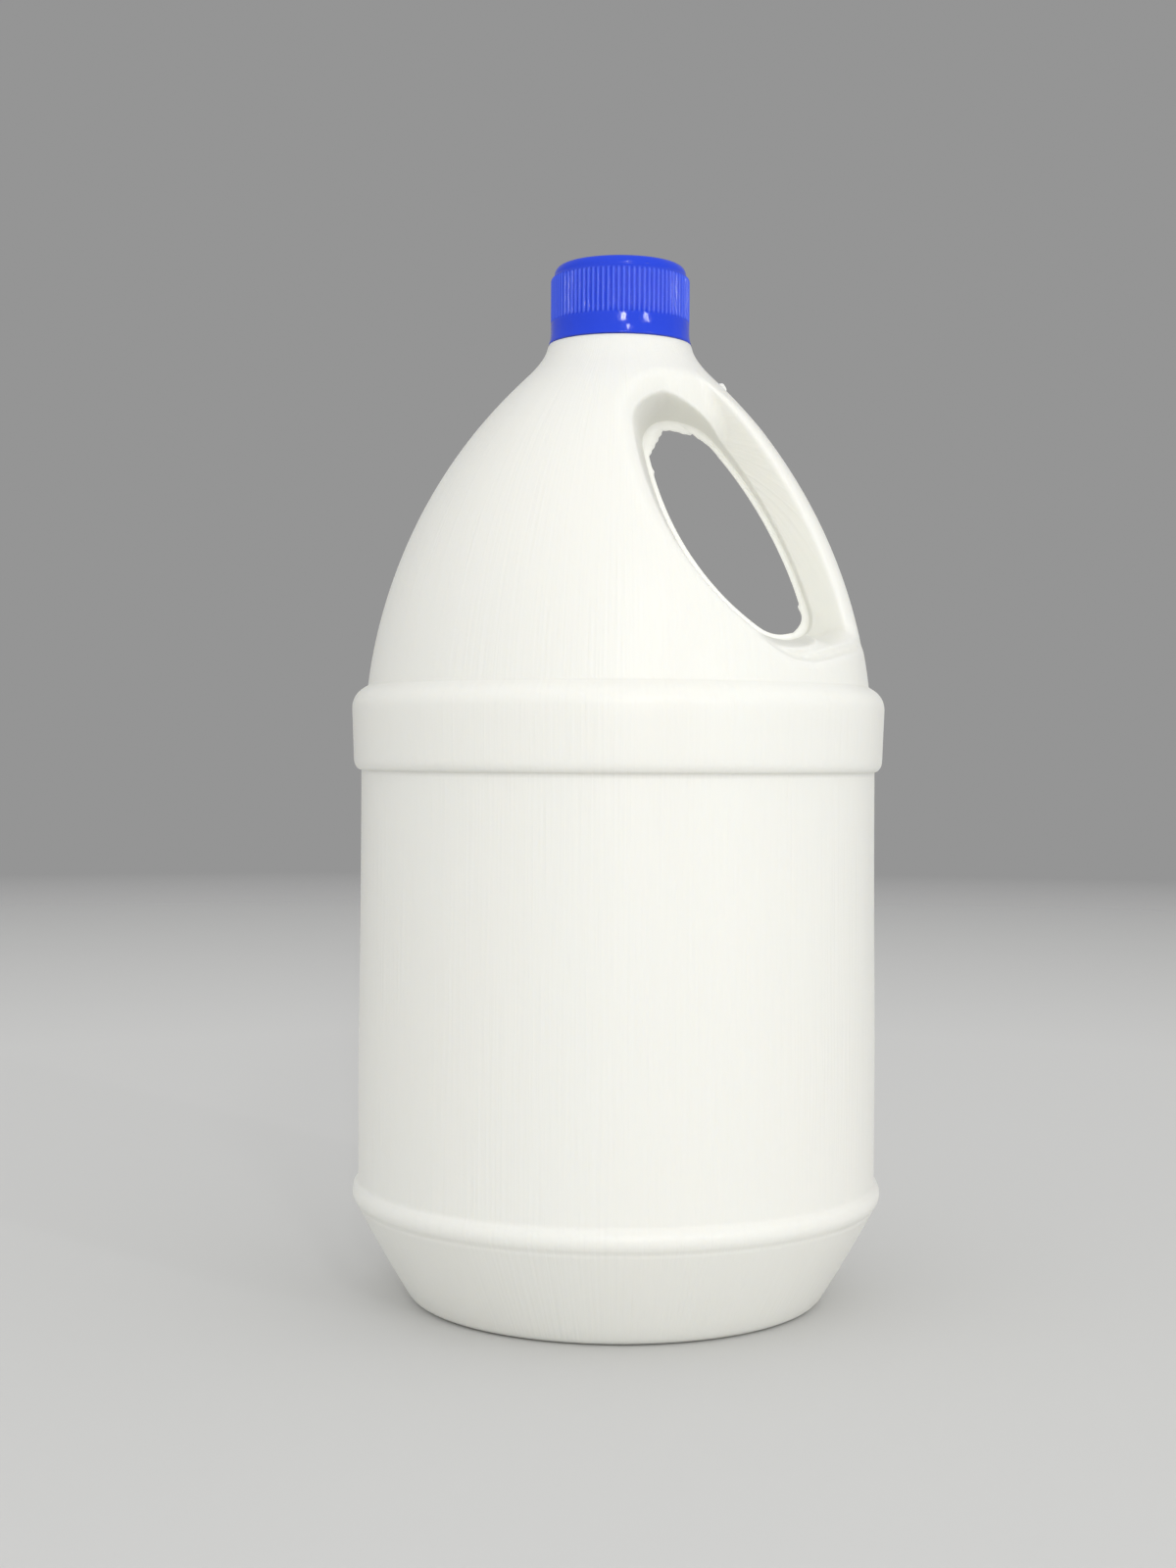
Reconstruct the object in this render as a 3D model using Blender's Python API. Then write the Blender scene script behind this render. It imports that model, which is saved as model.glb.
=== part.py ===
"""A round one-gallon blow-moulded plastic jug with a handle through its shoulder.

The jug stands upright on the XY plane with its axis on Z. The mould's parting
plane is y = 0, and the handle is on the +X side. Sizes below are millimetres.
Its form is one height field, mirrored across the parting plane: how deep the
plastic reaches from that plane, at each place x, z of the front view.
"""
import math

import bpy
import numpy as np

MM = 0.001

# Turned body, from the floor up
BASE_RADIUS = 59.7          # where the tapered foot would meet the floor if its edge were sharp
BASE_ROUND = 4.0            # rounding between the flat underside and the taper
TAPER_ANGLE = math.radians(30.0)
TAPER_CROWN = 0.35          # how far the tapered wall swells at its middle
RIB_HEIGHT = 31.3           # middle of the round bead above the taper
RIB_PROUD = 1.6
RIB_ROUND = 4.3
BODY_RADIUS = 75.5
BODY_WAIST = 0.55           # how much slimmer the straight wall is just under the band
WAIST_FROM, WAIST_TO = 60.0, 140.0
BAND_FOOT = 153.4           # the shoulder band's lower edge
BAND_STEP = 2.05
BAND_FOOT_ROUND = 3.2
BAND_FLARE = 0.65           # the band leans out towards its top
BAND_TOP = 171.4            # where the band's upper rounding begins
BAND_TOP_ROUND = 6.6
BAND_FILLET = 1.5

# Dome and neck. The dome's outline is one arc, and the neck sweeps out of it.
DOME_ROUND = 145.66
DOME_CENTRE = (-71.61, 160.96)
NECK_RADIUS = 20.8
NECK_TOP = 277.6
NECK_LEAN = 0.28
NECK_FILLET = 4.2

# Handle, in the front view. The gap lies between the grip and an arc on the body side.
GRIP_WIDTH = 14.2
GRIP_HALF_DEPTH = 13.5
GRIP_DEEPEN_FROM = 225.0    # above this height the grip deepens, until it is the dome itself
GRIP_DEEPEN = 0.0056
GRIP_RIDGE = 4.6            # distance of the grip's ridge from the outline
GRIP_FACE_SLOPE = 0.8       # the face falls from the ridge towards the gap
GRIP_CREST = 4.0            # softness with which the ridge ends in the dome
GRIP_OUTER_ROUND = 5.5
GRIP_TURN = 12.0            # the steep wall changes over this width at the gap's upper right
GRIP_ROOT = 4.0             # how far in depth the grip blends into the recess
GRIP_ROOT_FOOT = 12.0       # and below this height
GRIP_FOOT = 210.0
GAP_ARC_ROUND = 84.6
GAP_ARC_CENTRE = (91.33, 263.95)
GAP_HEAD = 253.1            # height of the gap's upper end
GAP_CORNER = 6.0
GAP_MIDDLE = (33.0, 223.0)
LEDGE_POINT = (47.0, 189.8)     # on the ledge under the gap, at the parting plane
LEDGE_RISE = math.radians(18.0)

# Thin web of welded plastic round the gap, left by the mould's pinch
WEB_HALF_THICKNESS = 0.6
WEB_SIDE = 1.3
WEB_GRIP = 1.3
WEB_HEAD = 2.6
WEB_FOOT = 1.7

# The recess that frees the grip: a steep wall up from the web, then a gentle stretch up to the rim
HEAD_CORNER = 7.6           # round corner of the web beside the gap's upper end
LEDGE_CORNER = 8.0
RIM_REACH_SIDE = 6.0        # from the web to the recess's rim
RIM_REACH_HEAD = 10.5
RIM_REACH_LEDGE = 8.3
RIM_WIDEST = 227.0          # height at which the rim beside the gap is furthest from the web
RIM_EXTRA = 1.2
RIM_CORNER = 0.9            # softness of the rim's lower corner, as a part of the reach
RIM_SLOPE = 1.15
RIM_SHELF = 9.0             # the gentle stretch ends this far inside the rim at the latest
RIM_DROP = 3.0
RIM_DROP_HEAD = 0.06
RIM_SOFT = 2.0
WALL_SLOPE_SIDE = 11.5      # depth that the steep wall gains for each millimetre
WALL_SLOPE_HEAD = 4.0
WALL_SLOPE_GRIP = 11.0
LEDGE_WALL = 5.5            # height of the steep wall under the gap
WALL_EDGE = 3.0             # softness in depth of the edge above the steep wall
WALL_CORNER = 10.0

# Screw cap, resting on the neck
CAP_FOOT = 277.9
CAP_TOP = 300.5
CAP_RADIUS = 20.3
CAP_LIP_RADIUS = 20.85
CAP_RIM_RADIUS = 18.4
CAP_RIBS = 84
CAP_RIB_DEPTH = 0.4

# How finely the surface is divided
HALF_TURN_COLUMNS = 24
SIDE_ROWS = 20
NEAR_LOOPS = (0.09, 0.24, 0.48, 0.74, 1.0)  # from the web to the recess's rim
FAR_LOOPS = 8
SHOULDER_FOOT = 181.5       # the handle's part of the jug reaches from here
SHOULDER_TOP = 270.0        # to here, and the rest is turned
SHOULDER_ARC = 60.0         # radius that turns an angle round the jug into a length


def smooth_step(value):
    """An S-shaped ramp from 0 to 1."""
    value = np.clip(value, 0.0, 1.0)
    return value * value * (3.0 - 2.0 * value)


def smooth_max(first, second, soft):
    """The larger of two values, rounded over where they differ by less than soft."""
    soft = np.maximum(soft, 1e-6)
    near = np.maximum(soft - np.abs(first - second), 0.0) / soft
    return np.maximum(first, second) + near * near * soft * 0.25


def smooth_min(first, second, soft):
    """The smaller of two values, rounded over where they differ by less than soft."""
    return -smooth_max(-first, -second, soft)


def body_radius(z):
    """The straight wall, a little slimmer under the band."""
    return BODY_RADIUS - BODY_WAIST * smooth_step((z - WAIST_FROM) / (WAIST_TO - WAIST_FROM))


def foot_radius(z):
    """The crowned taper, with the rounded edge of the underside."""
    slope = math.tan(TAPER_ANGLE)
    top = (BODY_RADIUS - BASE_RADIUS) / slope
    along = np.clip(z / top, 0.0, 1.0)
    taper = BASE_RADIUS + slope * z + 4.0 * TAPER_CROWN * along * (1.0 - along)
    centre = BASE_RADIUS - BASE_ROUND * math.tan(0.25 * math.pi - 0.5 * TAPER_ANGLE)
    drop = np.clip(BASE_ROUND - z, 0.0, BASE_ROUND)
    edge = centre + np.sqrt(BASE_ROUND ** 2 - drop ** 2)
    edge_top = BASE_ROUND * (1.0 - math.sin(TAPER_ANGLE))
    return np.where(z < edge_top, np.minimum(edge, taper), taper)


def rib_radius(z):
    """The round bead between the taper and the wall."""
    reach = RIB_ROUND ** 2 - (z - RIB_HEIGHT) ** 2
    bead = BODY_RADIUS + RIB_PROUD - RIB_ROUND + np.sqrt(np.clip(reach, 0.0, None))
    return np.where(reach > 0.0, bead, 0.0)


def band_radius(z):
    """The raised band: a rounded lower step, a leaning face and a rounded top."""
    foot = body_radius(BAND_FOOT)
    rise = np.clip((z - BAND_FOOT) / BAND_FOOT_ROUND, 0.0, 1.0)
    face = (z - BAND_FOOT) / (BAND_TOP - BAND_FOOT) * BAND_FLARE
    lower = foot + BAND_STEP * np.sqrt(1.0 - (1.0 - rise) ** 2) + face
    fall = np.clip(z - BAND_TOP, 0.0, BAND_TOP_ROUND)
    upper = foot + BAND_STEP + BAND_FLARE - BAND_TOP_ROUND + np.sqrt(BAND_TOP_ROUND ** 2 - fall ** 2)
    return np.where(z < BAND_TOP, lower, upper)


def dome_radius(z):
    """The dome's arc."""
    rise = np.clip(z - DOME_CENTRE[1], 0.0, DOME_ROUND)
    return DOME_CENTRE[0] + np.sqrt(DOME_ROUND ** 2 - rise ** 2)


def turned_radius(z):
    """The jug's radius at a height, without its handle."""
    z = np.asarray(z, dtype=float)
    lower = np.maximum(np.minimum(foot_radius(z), body_radius(z)), rib_radius(z))
    middle = np.where(z < BAND_FOOT, body_radius(z), band_radius(z))
    shoulder = smooth_max(band_radius(z), dome_radius(z), BAND_FILLET)
    neck = NECK_RADIUS + NECK_LEAN * (NECK_TOP - z)
    crown = smooth_max(dome_radius(z), neck, NECK_FILLET)
    tops = (RIB_HEIGHT + RIB_ROUND, BAND_TOP, BAND_TOP + BAND_TOP_ROUND, 0.5 * (BAND_TOP + NECK_TOP))
    return np.select([z < top for top in tops], [lower, middle, shoulder, dome_radius(z)], crown)


def inward(x, z):
    """How far a place of the front view is inside the dome's outline."""
    return DOME_ROUND - np.hypot(x - DOME_CENTRE[0], z - DOME_CENTRE[1])


def past_side(x, z):
    """How far a place is on the body side of the gap's left edge."""
    return np.hypot(x - GAP_ARC_CENTRE[0], z - GAP_ARC_CENTRE[1]) - GAP_ARC_ROUND


def under_ledge(x, z):
    """How far a place is below the sloping ledge under the gap."""
    return (x - LEDGE_POINT[0]) * math.sin(LEDGE_RISE) - (z - LEDGE_POINT[1]) * math.cos(LEDGE_RISE)


def outside_gap(x, z):
    """Signed distance from the gap's edge, negative in the gap."""
    across = np.maximum(GRIP_WIDTH - inward(x, z), past_side(x, z))
    ends = np.maximum(z - GAP_HEAD, under_ledge(x, z) + WEB_FOOT)
    return smooth_max(across, ends, GAP_CORNER)


def past_upper_web(x, z):
    """How far a place is past the web's left and upper edges, and how far round to the upper."""
    side = past_side(x, z) - WEB_SIDE + HEAD_CORNER
    head = z - GAP_HEAD - WEB_HEAD + HEAD_CORNER
    reach = np.hypot(np.maximum(side, 0.0), np.maximum(head, 0.0))
    upward = smooth_step(0.5 + 0.5 * (head - side) / (np.abs(head) + np.abs(side) + 1e-6))
    return reach + np.minimum(np.maximum(side, head), 0.0) - HEAD_CORNER, upward


def outside_web(x, z):
    """Signed distance from the outer edge of the web round the gap."""
    grip = GRIP_WIDTH - WEB_GRIP - inward(x, z)
    upper = smooth_max(grip, past_upper_web(x, z)[0], GAP_CORNER)
    return smooth_max(upper, under_ledge(x, z), LEDGE_CORNER)


def upper_reach(x, z):
    """Beside and above the gap: the wall's width, its slope by the web, and its drop past the shelf."""
    past_upper, upward = past_upper_web(x, z)
    side = RIM_REACH_SIDE + RIM_EXTRA * np.exp(-((z - RIM_WIDEST) / 16.0) ** 2)
    slope = WALL_SLOPE_SIDE + (WALL_SLOPE_HEAD - WALL_SLOPE_SIDE) * upward
    by_grip = smooth_step(0.5 + (GRIP_WIDTH - WEB_GRIP - inward(x, z) - past_upper) / GRIP_TURN)
    slope = slope + (WALL_SLOPE_GRIP - slope) * by_grip
    return side + (RIM_REACH_HEAD - side) * upward, slope, RIM_DROP * (RIM_DROP_HEAD / RIM_DROP) ** upward


def recess_climb(x, z):
    """The share of the way from the web to the rim: 0 at the web and 1 at the rim."""
    upper = past_upper_web(x, z)[0] / upper_reach(x, z)[0]
    return smooth_max(upper, under_ledge(x, z) / RIM_REACH_LEDGE, RIM_CORNER)


def gentle_depth(to_rim, drop, dome):
    """The wall's last stretch: it falls from the dome's depth inside the rim, and faster past the shelf."""
    inside = smooth_max(to_rim, 0.0, RIM_SOFT)
    return dome - RIM_SLOPE * inside - drop * np.maximum(inside - RIM_SHELF, 0.0) ** 2


def wall_depth(steep, gentle, dome):
    """The lower of a steep wall and a gentle one, with a soft edge between them, from the web to the dome."""
    return np.clip(smooth_min(steep, gentle, WALL_EDGE), np.minimum(dome, WEB_HALF_THICKNESS), dome)


def blend(first, second, dome, soft):
    """The deeper of two depths, rounded where they are alike, but neither on the web nor on the dome."""
    deepest = np.maximum(first, second)
    soft = np.minimum(soft, np.minimum(3.0 * (dome - deepest), 1.2 * (deepest - WEB_HALF_THICKNESS)))
    return smooth_max(first, second, soft)


def grip_depth(x, z):
    """Half the grip's depth: a rounded back up to the ridge, and a face that slopes towards the gap."""
    ridge = DOME_CENTRE[0] + np.sqrt((DOME_ROUND - GRIP_RIDGE) ** 2 - (z - DOME_CENTRE[1]) ** 2)
    crest = np.sqrt(np.clip(turned_radius(z) ** 2 - ridge ** 2, 0.0, None))
    half = GRIP_HALF_DEPTH + GRIP_DEEPEN * np.maximum(z - GRIP_DEEPEN_FROM, 0.0) ** 2
    half = smooth_min(half, crest, GRIP_CREST)
    back = np.clip(inward(x, z) / GRIP_OUTER_ROUND, 0.0, 1.0)
    face = half - GRIP_FACE_SLOPE * (inward(x, z) - GRIP_RIDGE)
    return smooth_min(half * np.sqrt(1.0 - (1.0 - back) ** 2), face, 0.6)


def half_depth(x, z):
    """How deep the plastic reaches from the parting plane at a place of the front view."""
    dome = np.sqrt(np.clip(turned_radius(z) ** 2 - x ** 2, 0.0, None))
    reach, slope, drop = upper_reach(x, z)
    steep = WEB_HALF_THICKNESS + slope * outside_web(x, z)
    upper = wall_depth(steep, gentle_depth(reach - past_upper_web(x, z)[0], drop, dome), dome)
    below = under_ledge(x, z)
    rising = WEB_HALF_THICKNESS + dome / LEDGE_WALL * below
    lower = wall_depth(rising, gentle_depth(RIM_REACH_LEDGE - below, RIM_DROP, dome), dome)
    recessed = blend(upper, lower, dome, WALL_CORNER)
    grip = wall_depth(steep, np.minimum(dome, grip_depth(x, z)), dome)
    root = GRIP_ROOT + (GRIP_ROOT_FOOT - GRIP_ROOT) * smooth_step((GRIP_FOOT - z) / 15.0)
    return blend(recessed, grip, dome, root)


def gap_outline():
    """Closed outline of the gap, dense and evenly turned about its middle."""
    centre = GAP_MIDDLE
    turn = np.linspace(0.0, 2.0 * math.pi, 1441)
    low = np.zeros_like(turn)
    high = np.full_like(turn, 60.0)
    for _ in range(40):
        reach = 0.5 * (low + high)
        outside = outside_gap(centre[0] + reach * np.cos(turn), centre[1] + reach * np.sin(turn)) > 0.0
        high = np.where(outside, reach, high)
        low = np.where(outside, low, reach)
    return turn, centre[0] + low * np.cos(turn), centre[1] + low * np.sin(turn)


def stretch_of_outline(first, last, count):
    """Points evenly spaced along the gap's outline between two bearings, without the last."""
    turn, x, z = gap_outline()
    length = np.concatenate(([0.0], np.cumsum(np.hypot(np.diff(x), np.diff(z)))))
    whole = length[-1]
    ends = np.interp([first % (2.0 * math.pi), last % (2.0 * math.pi)], turn, length)
    if ends[1] < ends[0]:
        ends[1] += whole
    places = np.mod(np.linspace(ends[0], ends[1], count + 1)[:-1], whole)
    return np.interp(places, length, x), np.interp(places, length, z)


def shoulder_border():
    """The border of the handle's part as angle and height, and the gap's point for each place.

    The border runs up the right outline, back along the top, down the left and along the foot.
    """
    quarter = 0.5 * math.pi
    bearings = [math.radians(degrees) for degrees in (-51.0, 88.0, 135.0, 222.0, -51.0)]
    rising = np.linspace(SHOULDER_FOOT, SHOULDER_TOP, SIDE_ROWS, endpoint=False)
    falling = np.linspace(SHOULDER_TOP, SHOULDER_FOOT, SIDE_ROWS, endpoint=False)
    rightward = np.linspace(-quarter, quarter, HALF_TURN_COLUMNS, endpoint=False)
    sides = [
        (np.full(SIDE_ROWS, quarter), rising),
        (-rightward, np.full(HALF_TURN_COLUMNS, SHOULDER_TOP)),
        (np.full(SIDE_ROWS, -quarter), falling),
        (rightward, np.full(HALF_TURN_COLUMNS, SHOULDER_FOOT)),
    ]
    gap = [stretch_of_outline(bearings[i], bearings[i + 1], len(sides[i][0])) for i in range(4)]
    angle = np.concatenate([side[0] for side in sides])
    height = np.concatenate([side[1] for side in sides])
    return angle, height, np.concatenate([g[0] for g in gap]), np.concatenate([g[1] for g in gap])


def reach_along(place, outside, start, longest):
    """The distance along each ray, past start, at which a signed distance turns positive."""
    low = start
    high = start + longest
    for _ in range(40):
        middle = 0.5 * (low + high)
        beyond = outside(*place(middle)) > 0.0
        high = np.where(beyond, middle, high)
        low = np.where(beyond, low, middle)
    return low


def past_rim(x, z):
    """Positive past the recess's rim, or past the grip's ridge."""
    return np.maximum(recess_climb(x, z) - 1.0, GRIP_RIDGE - inward(x, z))


def shoulder_grid():
    """Loops of points from the gap's edge out to the border, as x, depth and z."""
    angle, height, gap_x, gap_z = shoulder_border()
    gap_angle = np.arcsin(gap_x / turned_radius(gap_z))
    run = np.array((angle - gap_angle, height - gap_z))
    length = np.hypot(run[0] * SHOULDER_ARC, run[1])

    def place(distance):
        part = distance / length
        spot_angle = gap_angle + run[0] * part
        spot_z = gap_z + run[1] * part
        return turned_radius(spot_z) * np.sin(spot_angle), spot_z

    web = reach_along(place, outside_web, np.zeros_like(length), 12.0)
    rim = reach_along(place, past_rim, web, 12.0)
    distances = [np.zeros_like(length), web] + [web + part * (rim - web) for part in NEAR_LOOPS]
    start = distances[-1]
    power = 1.0 + 0.5 * smooth_step((length - 40.0) / 60.0)
    for part in np.linspace(0.0, 1.0, FAR_LOOPS + 1)[1:]:
        distances.append(start + (length - start) * part ** power)
    loops = []
    for distance in distances:
        x, z = place(distance)
        loops.append((x, half_depth(x, z), z))
    x, depth, z = (np.array([loop[i] for loop in loops]) for i in range(3))
    depth[:2] = WEB_HALF_THICKNESS
    on_outline = np.abs(angle) > 0.5 * math.pi - 1e-9
    depth[-1, on_outline] = 0.0
    return x, depth, z


def turned_rows():
    """Heights of the turned rows under the handle's part, closest where the profile bends."""
    edge = BASE_ROUND * (1.0 - np.cos(np.linspace(0.0, 0.5 * math.pi - TAPER_ANGLE, 4)))
    bead_reach = math.acos(1.0 - RIB_PROUD / RIB_ROUND)
    bead = RIB_HEIGHT + RIB_ROUND * np.sin(np.linspace(-bead_reach, bead_reach, 6))
    taper = np.linspace(edge[-1], bead[0], 4)[1:-1]
    wall = np.linspace(bead[-1], BAND_FOOT, 6)[1:-1]
    step = BAND_FOOT + BAND_FOOT_ROUND * (1.0 - np.cos(np.linspace(0.0, 0.5 * math.pi, 4)))
    roll = BAND_TOP + BAND_TOP_ROUND * np.sin(np.linspace(0.0, 0.5 * math.pi, 7))
    fillet = np.linspace(roll[-2], SHOULDER_FOOT, 4)[1:-1]
    return np.concatenate((edge, taper, bead, wall, step, roll[:-1], fillet))


def neck_rows():
    """Heights of the turned rows above the handle's part."""
    return np.linspace(SHOULDER_TOP, NECK_TOP, 5)[1:]


class FrontHalf:
    """The mesh of the half in front of the parting plane."""

    def __init__(self):
        self.points = []
        self.faces = []

    def add(self, x, depth, z):
        """Adds a row of points and returns their numbers."""
        first = len(self.points)
        self.points += list(zip(x * MM, -depth * MM, z * MM))
        return list(range(first, len(self.points)))

    def strip(self, lower, upper):
        """Joins two rows of the same length with faces."""
        for i in range(len(lower) - 1):
            self.faces.append((lower[i], lower[i + 1], upper[i + 1], upper[i]))

    def turned(self, z):
        """Adds a half circle at a height, from the left outline to the right."""
        angle = np.linspace(-0.5 * math.pi, 0.5 * math.pi, HALF_TURN_COLUMNS + 1)
        radius = float(turned_radius(z))
        depth = radius * np.cos(angle)
        depth[[0, -1]] = 0.0
        return self.add(radius * np.sin(angle), depth, np.full(len(angle), z))


def build_front_half():
    """Turned rows, the handle's part with its gap, and flat ends."""
    half = FrontHalf()
    x, depth, z = shoulder_grid()
    loops = [half.add(x[i], depth[i], z[i]) for i in range(len(x))]
    for inner, outer in zip(loops, loops[1:]):
        half.strip(outer + outer[:1], inner + inner[:1])
    edge = half.add(x[0], np.zeros_like(x[0]), z[0])
    half.strip(loops[0] + loops[0][:1], edge + edge[:1])

    border = loops[-1]
    top_start = SIDE_ROWS
    foot_start = 2 * SIDE_ROWS + HALF_TURN_COLUMNS
    foot = border[foot_start:] + border[:1]
    top = border[top_start:top_start + HALF_TURN_COLUMNS + 1][::-1]

    rows = [half.turned(height) for height in turned_rows()] + [foot]
    for lower, upper in zip(rows, rows[1:]):
        half.strip(lower, upper)
    half.faces.append(tuple(rows[0][::-1]))
    rows = [top] + [half.turned(height) for height in neck_rows()]
    for lower, upper in zip(rows, rows[1:]):
        half.strip(lower, upper)
    half.faces.append(tuple(rows[-1]))
    return half


def plastic(name, colour, roughness):
    """A moulded plastic."""
    material = bpy.data.materials.new(name)
    material.use_nodes = True
    shader = material.node_tree.nodes["Principled BSDF"]
    shader.inputs["Base Color"].default_value = (*colour, 1.0)
    shader.inputs["Roughness"].default_value = roughness
    shader.inputs["Metallic"].default_value = 0.0
    return material


def add_object(name, points, faces, material, sharp_degrees):
    """Puts a mesh in the scene under its piece's name."""
    mesh = bpy.data.meshes.new(name)
    mesh.from_pydata(points, [], faces)
    mesh.materials.append(material)
    mesh.shade_smooth()
    mesh.set_sharp_from_angle(angle=math.radians(sharp_degrees))
    piece = bpy.data.objects.new(name, mesh)
    bpy.context.scene.collection.objects.link(piece)
    return piece


def make_jug(material):
    """The one-piece jug, mirrored across the parting plane."""
    half = build_front_half()
    jug = add_object("jug", half.points, half.faces, material, 40.0)
    mirror = jug.modifiers.new("Parting plane", "MIRROR")
    mirror.use_axis = (False, True, False)
    mirror.use_mirror_merge = True
    mirror.merge_threshold = 0.00002
    return jug


def make_cap(material):
    """The screw cap: a flared lip, a plain band, upright ribs and a rounded shoulder."""
    crest = CAP_RADIUS
    groove = CAP_RADIUS - CAP_RIB_DEPTH
    rings = [
        (CAP_FOOT, CAP_LIP_RADIUS, CAP_LIP_RADIUS),
        (CAP_FOOT + 0.9, CAP_LIP_RADIUS - 0.1, CAP_LIP_RADIUS - 0.1),
        (CAP_FOOT + 2.2, crest, crest),
        (CAP_FOOT + 6.2, crest, crest),
        (CAP_FOOT + 7.4, crest, groove),
        (CAP_TOP - 4.6, crest, groove),
        (CAP_TOP - 3.2, groove - 0.1, groove - 0.1),
        (CAP_TOP - 1.0, CAP_RIM_RADIUS + 0.75, CAP_RIM_RADIUS + 0.75),
        (CAP_TOP, CAP_RIM_RADIUS, CAP_RIM_RADIUS),
    ]
    columns = 2 * CAP_RIBS
    angle = 2.0 * math.pi * np.arange(columns) / columns
    points = []
    for height, outer, inner in rings:
        radius = np.where(np.arange(columns) % 2 == 0, outer, inner)
        level = np.full(columns, height)
        points += list(zip(radius * np.cos(angle) * MM, radius * np.sin(angle) * MM, level * MM))
    faces = []
    for ring in range(len(rings) - 1):
        for i in range(columns):
            j = (i + 1) % columns
            below = ring * columns
            above = below + columns
            faces.append((below + i, below + j, above + j, above + i))
    faces.append(tuple(reversed(range(columns))))
    faces.append(tuple(range((len(rings) - 1) * columns, len(rings) * columns)))
    return add_object("cap", points, faces, material, 35.0)


def main():
    for old in list(bpy.data.objects):
        bpy.data.objects.remove(old, do_unlink=True)
    make_jug(plastic("white polyethylene", (0.86, 0.86, 0.82), 0.38))
    make_cap(plastic("blue polypropylene", (0.045, 0.09, 0.75), 0.3))


main()
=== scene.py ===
# %% [markdown]
# # A round one-gallon plastic jug with a screw cap
#
# The real thing is blow-moulded: a soft tube of white polyethylene is caught between two
# mould halves and blown out against them. That leaves a seam where the halves met, a thin
# pinched web round the handle's gap, and fine lines where the tube was drawn through its die.
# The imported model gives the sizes. This lesson makes the surfaces that are seen.

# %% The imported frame
import math

import bmesh
import bpy
import numpy as np
from mathutils import Matrix, Vector


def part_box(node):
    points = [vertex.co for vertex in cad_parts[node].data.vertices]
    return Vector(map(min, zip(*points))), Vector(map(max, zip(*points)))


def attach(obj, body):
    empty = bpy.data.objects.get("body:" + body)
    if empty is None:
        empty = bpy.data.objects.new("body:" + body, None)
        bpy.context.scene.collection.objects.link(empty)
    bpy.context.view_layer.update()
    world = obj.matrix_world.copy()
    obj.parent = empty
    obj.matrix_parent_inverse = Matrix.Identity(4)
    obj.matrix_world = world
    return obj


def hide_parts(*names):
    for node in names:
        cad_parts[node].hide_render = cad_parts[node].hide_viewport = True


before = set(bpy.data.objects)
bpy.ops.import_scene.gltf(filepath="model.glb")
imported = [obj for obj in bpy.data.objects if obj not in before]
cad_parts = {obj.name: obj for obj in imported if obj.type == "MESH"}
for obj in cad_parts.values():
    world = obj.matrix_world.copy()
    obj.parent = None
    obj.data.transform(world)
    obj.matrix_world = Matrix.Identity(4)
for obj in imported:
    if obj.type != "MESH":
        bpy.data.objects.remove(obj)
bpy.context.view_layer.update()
MM = 0.001
jug_low, jug_high = (np.array(corner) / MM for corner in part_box("jug"))
cap_low, cap_high = (np.array(corner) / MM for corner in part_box("cap"))
print("jug reaches", jug_high.round(2), "mm and the cap", cap_high.round(2), "mm")

# %% [markdown]
# ## Camera
#
# A product photo of a tall thing is taken nearly level, from about arm's length, so that its
# sides stay upright. A normal lens at 0.64 m gives the same narrowing towards the foot and the
# same curve on the band and the bead as the photo has. The focal length is given for the long
# side of the picture, which Blender's automatic sensor fit takes.

# %% The camera
CAMERA_PLACE = (-0.0087, -0.640, 0.15955)
CAMERA_PITCH = math.atan(35.0 / 2222.0)     # it looks down by this much
CAMERA_ROLL = 0.0052


def make_camera():
    """A 50 mm camera that looks along +Y, pitched down and rolled a little."""
    data = bpy.data.cameras.new("camera")
    data.lens = 50.0
    data.sensor_width = 36.0
    camera = bpy.data.objects.new("camera", data)
    bpy.context.scene.collection.objects.link(camera)
    look = Matrix.Rotation(0.5 * math.pi - CAMERA_PITCH, 4, "X")
    roll = Matrix.Rotation(CAMERA_ROLL, 4, "Z")
    camera.matrix_world = Matrix.Translation(CAMERA_PLACE) @ look @ roll
    bpy.context.scene.camera = camera
    return camera


make_camera()
print("camera at", CAMERA_PLACE)

# %% [markdown]
# ## A surface from arrays
#
# Every shape below is a grid of points: rows one way and columns the other. Joining each point
# to its neighbours makes the faces, and one rule does it for all of them. Where two grids share
# an edge their points coincide, and are merged afterwards.

# %% From a grid of points to a mesh


def grid_faces(rows, columns, closed):
    """Quads between neighbours, numbered row by row. A closed grid joins its last column to its first."""
    number = np.arange(rows * columns).reshape(rows, columns)
    if closed:
        number = np.concatenate((number, number[:, :1]), axis=1)
    corners = (number[:-1, :-1], number[:-1, 1:], number[1:, 1:], number[1:, :-1])
    return np.stack([corner.ravel() for corner in corners], axis=1)


def mesh_piece(name, points, faces, material, slot, merge=0.00001):
    """A smooth piece from points in millimetres and a list of faces. Doubled points are merged."""
    mesh = bpy.data.meshes.new(name)
    mesh.from_pydata((points * MM).tolist(), [], faces)
    if merge:
        shape = bmesh.new()
        shape.from_mesh(mesh)
        bmesh.ops.remove_doubles(shape, verts=shape.verts, dist=merge)
        shape.to_mesh(mesh)
        shape.free()
    mesh.materials.append(material)
    mesh.shade_smooth()
    piece = bpy.data.objects.new(name, mesh)
    bpy.context.scene.collection.objects.link(piece)
    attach(piece, "root")
    triangles = sum(len(face.vertices) - 2 for face in mesh.polygons)
    print(name, "has", len(mesh.vertices), "points and", triangles, "triangles")
    return piece


def smooth_step(value):
    """An S-shaped ramp from 0 to 1."""
    value = np.clip(value, 0.0, 1.0)
    return value * value * (3.0 - 2.0 * value)


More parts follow.
